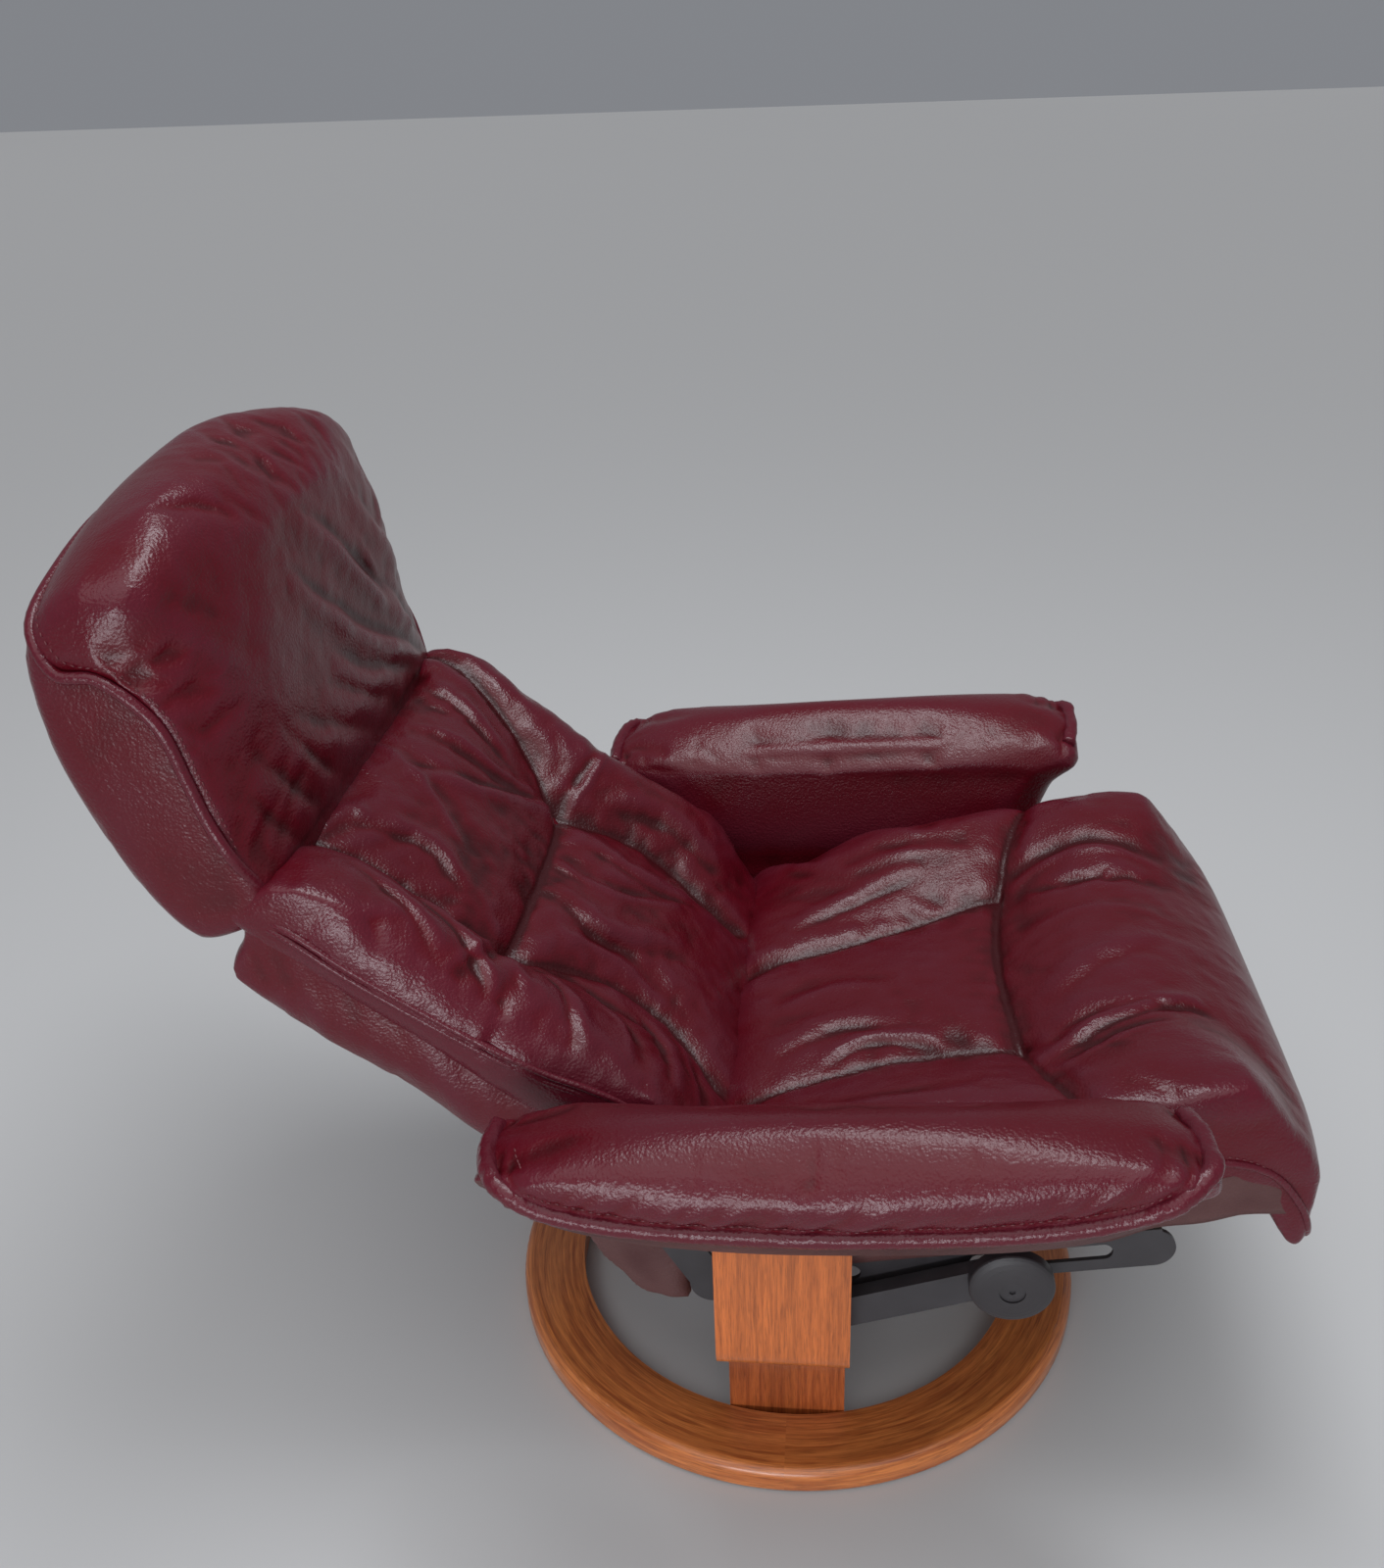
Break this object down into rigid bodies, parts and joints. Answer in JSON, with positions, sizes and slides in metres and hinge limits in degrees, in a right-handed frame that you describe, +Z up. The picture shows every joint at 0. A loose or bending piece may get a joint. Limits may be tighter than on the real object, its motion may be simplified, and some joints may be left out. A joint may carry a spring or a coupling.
{
  "type": "recliner armchair",
  "caption": "Swivel recliner armchair: padded leather seat, back, tipping head section and arm pads carried by a bent-wood yoke on a wooden floor ring.",
  "frame": {"origin": "on the floor, on the swivel axis, at the centre of the floor ring", "axes": "+Z up; the chair faces -Y, so +X is the sitter's left"},
  "size_m": [0.8474, 1.0442, 0.9374],
  "materials": {
    "oiled_wood": "satin lacquer over laminated cherry-stained beech",
    "oxblood_leather": "glossy full-grain hide",
    "dark_leather": "matt split hide underneath",
    "black_steel": "satin powder coat",
    "zinc_steel": "zinc-plated",
    "black_plastic": "fine grain",
    "nylon": "natural",
    "plywood": "raw",
    "webbing": "woven elastic"
  },
  "bodies": {
    "base": {"glide_ring": "black_plastic", "base_ring": "oiled_wood", "base_arch": "oiled_wood", "arch_screws": "zinc_steel", "swivel_socket": "black_steel", "socket_bolts": "zinc_steel", "socket_nuts": "zinc_steel", "swivel_bush": "nylon"},
    "carrier": {"swivel_spindle": "black_steel", "spindle_washer": "zinc_steel", "spindle_nut": "zinc_steel", "yoke": "oiled_wood", "yoke_bolts": "zinc_steel", "arm_board_right": "dark_leather", "arm_board_left": "dark_leather", "arm_bolts": "zinc_steel", "barrel_nuts": "zinc_steel", "arm_pad_right": "oxblood_leather", "arm_pad_left": "oxblood_leather", "side_bar_right": "black_steel", "side_bar_left": "black_steel", "bar_bolts": "zinc_steel", "glide_studs": "zinc_steel", "glide_bushes": "nylon", "knob_screw_right": "black_steel", "knob_screw_left": "black_steel"},
    "right_knob": {"knob_right": "black_plastic"},
    "left_knob": {"knob_left": "black_plastic"},
    "seat": {"seat_plate_right": "black_steel", "seat_plate_left": "black_steel", "seat_tubes": "black_steel", "seat_frame": "plywood", "frame_screws": "zinc_steel", "seat_webbing": "webbing", "seat_cushion": "oxblood_leather", "seat_skirt": "dark_leather", "pivot_shaft": "zinc_steel", "shaft_clips": "zinc_steel"},
    "back": {"back_frame": "black_steel", "back_webbing": "webbing", "back_shell": "oxblood_leather", "back_cushion": "oxblood_leather", "head_pins": "zinc_steel", "head_washers": "nylon"},
    "head": {"head_frame": "black_steel", "head_cushion": "oxblood_leather"}
  },
  "joints": [
    {"name": "swivel", "type": "hinge", "parent": "base", "child": "carrier", "pos_m": [0, 0, 0.15], "axis": [0, 0, 1], "continuous": true},
    {"name": "seat_glide", "type": "slide", "parent": "carrier", "child": "seat", "axis": [0, -0.9848, 0.1736], "range_m": [-0.08, 0.025]},
    {"name": "back_recline", "type": "hinge", "parent": "seat", "child": "back", "pos_m": [0, 0.105, 0.3], "axis": [-1, 0, 0], "range_deg": [-28, 9]},
    {"name": "head_tilt", "type": "hinge", "parent": "back", "child": "head", "pos_m": [0, 0.4402, 0.58727], "axis": [1, 0, 0], "range_deg": [-30, 5]},
    {"name": "right_knob_turn", "type": "hinge", "parent": "carrier", "child": "right_knob", "pos_m": [-0.298, -0.193, 0.275], "axis": [-1, 0, 0], "range_deg": [-360, 360]},
    {"name": "left_knob_turn", "type": "hinge", "parent": "carrier", "child": "left_knob", "pos_m": [0.298, -0.193, 0.275], "axis": [1, 0, 0], "range_deg": [-360, 360]}
  ],
  "couplings": [
    {"joint": "back_recline", "follows": "seat_glide", "rad_per_m": 6.1087}
  ]
}
